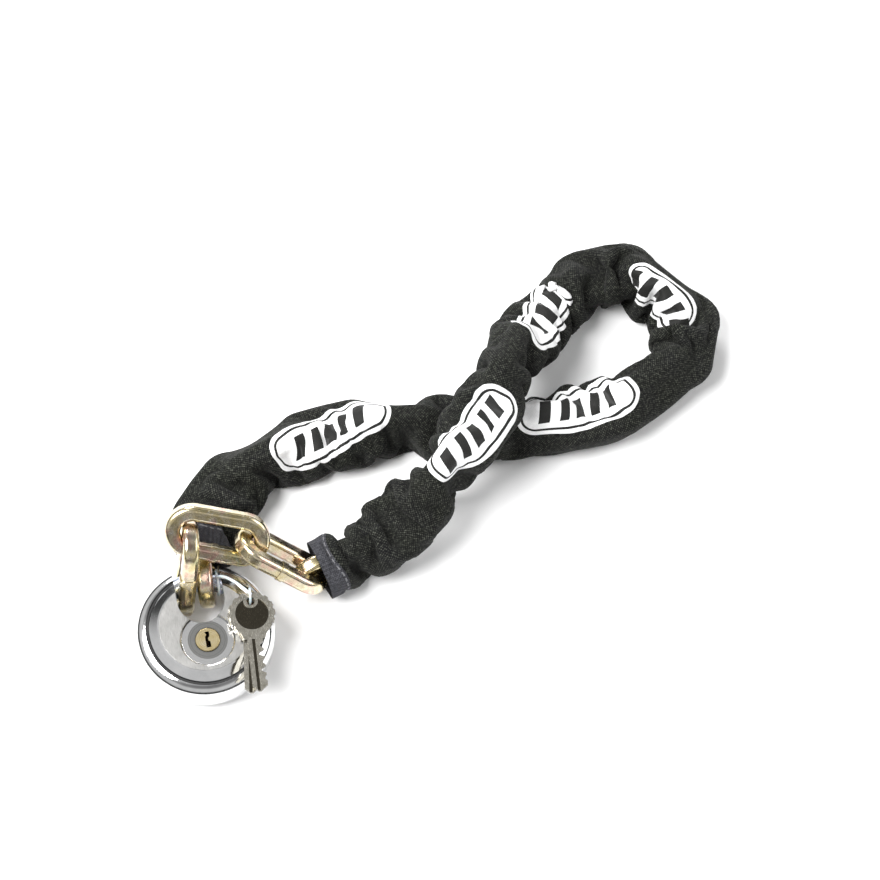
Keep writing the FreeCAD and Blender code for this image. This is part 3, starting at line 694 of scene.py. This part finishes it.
def tube_piece(name, grid, normals, rows, share, material):
    """Double-walled piece of the sleeve between two rows of its grid."""
    first, last = rows
    part, lean = grid[first:last + 1], normals[first:last + 1]
    count, columns = part.shape[:2]
    inner = part - lean * CLOTH_THICK
    inner[:, :, 2] = np.maximum(inner[:, :, 2], LINING_FLOOR)
    vertices = np.vstack([part.reshape(-1, 3), inner.reshape(-1, 3)])
    shade = np.vstack([lean.reshape(-1, 3), -lean.reshape(-1, 3)])
    faces, maps = [], []

    def spot(row, column, wall):
        return wall * count * columns + row * columns + column % columns

    def cloth(row, column):
        return (share[first + row], column / columns * CLOTH_ROUND)

    for row in range(count - 1):
        for column in range(columns):
            corners = [(row, column), (row, column + 1), (row + 1, column + 1), (row + 1, column)]
            faces.append([spot(r, c, 0) for r, c in corners])
            maps.append([cloth(r, c) for r, c in corners])
            faces.append([spot(r, c, 1) for r, c in corners[::-1]])
            maps.append([cloth(r, c) for r, c in corners[::-1]])
    for column in range(columns):
        for row, flip in ((0, 1), (count - 1, -1)):
            ring = [(row, column, 0), (row, column, 1), (row, column + 1, 1), (row, column + 1, 0)][::flip]
            faces.append([spot(*corner) for corner in ring])
            maps.append([cloth(r, c) for r, c, _ in ring])
    mesh = bpy.data.meshes.new(name)
    mesh.from_pydata(vertices.tolist(), [], faces)
    layer = mesh.uv_layers.new(name="UVMap")
    layer.data.foreach_set("uv", np.array([uv for face in maps for uv in face]).ravel())
    mesh.polygons.foreach_set("use_smooth", [True] * len(faces))
    mesh.materials.append(material)
    mesh.update()
    mesh.normals_split_custom_set_from_vertices(shade.tolist())
    obj = bpy.data.objects.new(name, mesh)
    bpy.context.scene.collection.objects.link(obj)
    return obj


# Badges printed on the sleeve: middle as a link number, side of the sleeve in degrees from its top
# towards the left of its route, turn on the cloth in degrees, and length
BADGES = [(4.05, -8.0, 13.0, 0.074), (7.68, -2.0, 3.0, 0.072), (10.82, 16.0, 188.0, 0.050),
          (13.80, 10.0, 184.0, 0.076), (16.30, 20.0, 176.0, 0.062)]
BADGE_WIDTH = 0.0245
BADGE_CORNER = 0.0098
RING_INSET, RING_HALF = 0.0028, 0.00065     # dark outline: how far inside the badge's edge, half its width
# Slanted bars in a badge: middle along the badge and half width
BARS = [(-0.0205, 0.0030), (-0.0100, 0.0024), (0.0, 0.0034), (0.0105, 0.0024), (0.0205, 0.0030)]
BAR_REACH = 0.0056          # half of a bar's height
BAR_SLANT = 0.32            # sideways over upwards


def rounded_box(s, x, y, half_x, half_y, radius):
    """Signed distance to a rounded rectangle."""
    dx = s.math("SUBTRACT", s.math("ABSOLUTE", x), half_x - radius)
    dy = s.math("SUBTRACT", s.math("ABSOLUTE", y), half_y - radius)
    outside = s.vector("LENGTH", s.join(s.math("MAXIMUM", dx, 0.0), s.math("MAXIMUM", dy, 0.0), 0.0))
    inside = s.math("MINIMUM", s.math("MAXIMUM", dx, dy), 0.0)
    return s.math("SUBTRACT", s.math("ADD", outside, inside), radius)


def badge_masks(s, u, v, badges):
    """White and black masks of the printed badges, in cloth coordinates."""
    white, black = None, None
    for at_u, at_v, turn, badge_length in badges:
        along = s.math("SUBTRACT", u, at_u)
        across = s.math("WRAP", s.math("SUBTRACT", v, at_v), CLOTH_ROUND / 2, -CLOTH_ROUND / 2)
        cos, sin = math.cos(turn), math.sin(turn)
        x = s.math("ADD", s.math("MULTIPLY", along, cos), s.math("MULTIPLY", across, sin))
        y = s.math("SUBTRACT", s.math("MULTIPLY", across, cos), s.math("MULTIPLY", along, sin))
        edge = rounded_box(s, x, y, badge_length / 2, BADGE_WIDTH / 2, BADGE_CORNER)
        plate = s.math("LESS_THAN", edge, 0.0)
        ring = s.math("LESS_THAN", s.math("ABSOLUTE", s.math("ADD", edge, RING_INSET)), RING_HALF)
        leaning = s.math("SUBTRACT", x, s.math("MULTIPLY", y, BAR_SLANT))
        bars = None
        for centre, half in BARS:
            bar = s.math("LESS_THAN", s.math("ABSOLUTE", s.math("SUBTRACT", leaning, centre)), half)
            bars = bar if bars is None else s.math("MAXIMUM", bars, bar)
        bars = s.both(bars, s.math("LESS_THAN", s.math("ABSOLUTE", y), BAR_REACH))
        ink = s.math("MAXIMUM", ring, bars)
        white = plate if white is None else s.math("MAXIMUM", white, plate)
        black = ink if black is None else s.math("MAXIMUM", black, ink)
    return white, black


WEAVE_PITCH = 0.00135
RIB_PITCH = 0.0021          # of the cuff's knit
STITCH_PITCH = 0.0036
SEAM_INSET, SEAM_HALF = 0.0012, 0.00035     # line of stitches inside the cuff's edge, half its width


def sleeve_cloth(badges, cloth_length):
    """Charcoal woven nylon with printed badges, a ribbed, stitched cuff at each end, and painted shade in
    its concave folds.
    """
    s = Shader("sleeve_fabric", sheen_weight=0.035, sheen_roughness=0.4, specular_ior_level=0.14)
    uv = s.place("UV")
    u, v, _ = s.split(uv)
    turns = 2 * math.pi / WEAVE_PITCH
    wander = s.math("MULTIPLY", s.noise(uv, 260.0, 2.0), 0.0009)
    warp = s.math("SINE", s.math("MULTIPLY", s.math("ADD", u, wander), turns))
    weft = s.math("SINE", s.math("MULTIPLY", s.math("ADD", v, wander), turns))
    weave = s.math("MULTIPLY", warp, weft)
    fibre = s.noise(s.vector("MULTIPLY", uv, (1.0, 3.0, 1.0)), 2200.0, 3.0, 0.6)
    speck = s.noise(uv, 640.0, 3.0, 0.75)
    cloud = s.noise(uv, 45.0, 4.0, 0.6)
    tone = s.math("ADD", s.math("MULTIPLY", weave, 0.19), s.math("MULTIPLY", fibre, 0.3))
    tone = s.math("ADD", tone, s.math("MULTIPLY", s.remap(speck, 0.30, 0.70), 0.42))
    dark = s.ramp(tone, [(0.14, (0.0010, 0.0010, 0.0010)), (0.33, (0.0050, 0.0052, 0.0045)),
                         (0.47, (0.024, 0.025, 0.021)), (0.64, (0.104, 0.110, 0.088))])
    cast = s.mix(s.remap(cloud, 0.35, 0.65), (0.006, 0.008, 0.004), (0.007, 0.007, 0.010))
    cloth = s.mix(0.25, dark, cast)
    from_end = s.math("MINIMUM", u, s.math("SUBTRACT", cloth_length, u))
    cuff = s.math("LESS_THAN", from_end, CUFF)
    ribs = s.both(s.math("SINE", s.math("MULTIPLY", v, 2 * math.pi / RIB_PITCH)), cuff)
    off_seam = s.math("ABSOLUTE", s.math("SUBTRACT", from_end, CUFF - SEAM_INSET))
    dashes = s.math("GREATER_THAN", s.math("SINE", s.math("MULTIPLY", v, 2 * math.pi / STITCH_PITCH)), -0.35)
    stitch = s.both(s.math("LESS_THAN", off_seam, SEAM_HALF), dashes)
    knit = s.ramp(tone, [(0.2, (0.020, 0.020, 0.023)), (0.6, (0.075, 0.076, 0.086))])
    cloth = s.mix(cuff, cloth, knit)
    cloth = s.mix(stitch, cloth, (0.16, 0.16, 0.17))
    white, black = badge_masks(s, u, v, badges)
    paint = s.remap(s.math("ADD", speck, s.math("MULTIPLY", weave, 0.12)), 0.2, 0.8, 0.74, 0.90)
    paint = s.mix(black, s.grey(paint), (0.016, 0.016, 0.015))
    # painted shade: cloth and badges darker where the surface is concave, in the folds
    fold_shade = s.remap(s.node("ShaderNodeNewGeometry").outputs["Pointiness"], 0.425, 0.495, 1.0, 0.0)
    cloth = s.mix(s.math("MULTIPLY", fold_shade, 0.8), cloth, (0.0022, 0.0022, 0.0022))
    paint = s.mix(s.math("MULTIPLY", fold_shade, 0.22), paint, (0.25, 0.25, 0.25))
    colour = s.mix(white, cloth, paint)
    rough = s.remap(white, 0.0, 1.0, 0.86, 0.55)
    height = s.math("ADD", weave, s.math("MULTIPLY", fibre, 0.8))
    height = s.math("ADD", height, s.math("MULTIPLY", ribs, 1.6))
    height = s.math("ADD", height, s.math("MULTIPLY", stitch, 2.0))
    height = s.math("MULTIPLY", height, s.remap(white, 0.0, 1.0, 1.0, 0.45))
    height = s.math("ADD", height, s.math("MULTIPLY", white, 0.6))
    crumple = s.noise(s.vector("MULTIPLY", uv, (1.0, 0.45, 1.0)), 95.0, 3.0, 0.55, 0.8)
    normal = s.bump(height, 0.55, 0.00022, s.bump(crumple, 0.60, 0.0026))
    return s.set(base_color=colour, roughness=rough, normal=normal)


SHEET_FLOOR = 0.0004        # lowest level of the sleeve's outside once it is made finer
CUTS = (6.45, 16.1)         # link numbers at which the sleeve is split into its three pieces
BLEND_REACH = 0.012         # on each side of a lift joint


def blend_over(piece, joint, sign):
    """Works out a reach across a lift joint on the given side in X, which is not used, and bakes the piece's
    placement into its mesh.
    """
    outward = Vector(joint["axis"]).cross(Vector(UP)).normalized()
    outward *= math.copysign(1.0, outward.x) * sign * BLEND_REACH
    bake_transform(piece)


def make_sleeve():
    """The sleeve in three pieces, split away from the lift joints."""
    grid, place, share = settle_sleeve()
    badges = []
    for number, side, turn, badge_length in BADGES:
        middle = float(np.interp(number, place, share))
        badges.append((middle, side / 360 % 1 * CLOTH_ROUND, math.radians(turn), badge_length))
    material = sleeve_cloth(badges, float(share[-1]))
    grid = finer(grid)
    grid[:, :, 2] = np.maximum(grid[:, :, 2], SHEET_FLOOR)
    normals = grid_normals(grid)
    rows = grid.shape[0] - 1
    fine, coarse = np.linspace(0, 1, rows + 1), np.linspace(0, 1, RINGS)
    places, shares = np.interp(fine, coarse, place), np.interp(fine, coarse, share)
    cut_a, cut_b = (int(np.abs(places - cut).argmin()) for cut in CUTS)
    near, far = JOINTS["near_lift"], JOINTS["far_lift"]
    spans = [("sleeve_cloth_near_a", (0, cut_a), "near_chain", near, -1, LINK_NAMES[0:6],
              ["sleeve_near_a", "sleeve_mid_a"]),
             ("sleeve_cloth_far", (cut_a, cut_b), "far_loop", far, 1, LINK_NAMES[6:16], ["sleeve_far"]),
             ("sleeve_cloth_near_b", (cut_b, rows), "near_chain", near, -1, LINK_NAMES[15:19],
              ["sleeve_mid_b", "sleeve_near_b"])]
    for name, span, child, joint, sign, under, replaced in spans:
        piece = tube_piece(name, grid, normals, span, shares, material)
        blend_over(piece, joint, sign)
        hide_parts(*replaced)


make_sleeve()


# ------------------------------------------------------------------------------------------------
# Floor and light
# ------------------------------------------------------------------------------------------------
FLOOR_HALF = 4.0
# Lamps: name, place, diameter, power
LAMPS = [("key", (-0.75, 0.25, 1.25), 0.95, 38.0), ("fill", (0.9, -0.8, 0.9), 1.2, 9.0),
         ("back", (0.5, 1.2, 1.0), 0.7, 16.0)]
# Grey of the surroundings by height, from level to overhead, and their strength
SKY_BANDS = [(0.0, 0.55), (0.08, 0.08), (0.24, 0.10), (0.36, 0.95), (0.66, 1.0), (0.80, 0.34), (0.92, 0.30),
             (1.0, 0.85)]
SKY_STRENGTH = 0.68


def make_floor():
    corners = [(-1, -1), (1, -1), (1, 1), (-1, 1)]
    mesh = bpy.data.meshes.new("floor")
    mesh.from_pydata([(x * FLOOR_HALF, y * FLOOR_HALF, 0) for x, y in corners], [], [(0, 1, 2, 3)])
    floor = bpy.data.objects.new("floor", mesh)
    bpy.context.scene.collection.objects.link(floor)
    s = Shader("floor", roughness=0.75)
    pale = s.ramp(s.noise(s.place(), 6.0, 2.0), [(0.3, (0.90, 0.90, 0.90)), (0.7, (0.92, 0.92, 0.92))])
    mesh.materials.append(s.set(base_color=pale))


def make_lamps():
    for name, spot, size, power in LAMPS:
        data = bpy.data.lights.new(name, "AREA")
        data.shape = "DISK"
        data.size = size
        data.energy = power
        lamp = bpy.data.objects.new(name, data)
        bpy.context.scene.collection.objects.link(lamp)
        lamp.location = spot
        lamp.rotation_euler = Vector(spot).to_track_quat("Z", "Y").to_euler()


def make_surroundings():
    world = bpy.data.worlds.new("studio")
    bpy.context.scene.world = world
    world.use_nodes = True
    tree = world.node_tree
    place = tree.nodes.new("ShaderNodeTexCoord")
    split = tree.nodes.new("ShaderNodeSeparateXYZ")
    ramp = tree.nodes.new("ShaderNodeValToRGB")
    tree.links.new(place.outputs["Generated"], split.inputs[0])
    tree.links.new(split.outputs[2], ramp.inputs[0])
    tree.links.new(ramp.outputs[0], tree.nodes["Background"].inputs[0])
    elements = ramp.color_ramp.elements
    for element, (height, grey) in zip(elements, (SKY_BANDS[0], SKY_BANDS[-1])):
        element.position = height
        element.color = (grey, grey, grey, 1)
    for height, grey in SKY_BANDS[1:-1]:
        elements.new(height).color = (grey, grey, grey, 1)
    tree.nodes["Background"].inputs[1].default_value = SKY_STRENGTH


make_floor()
make_lamps()
make_surroundings()
bpy.context.scene.view_settings.view_transform = "Standard"
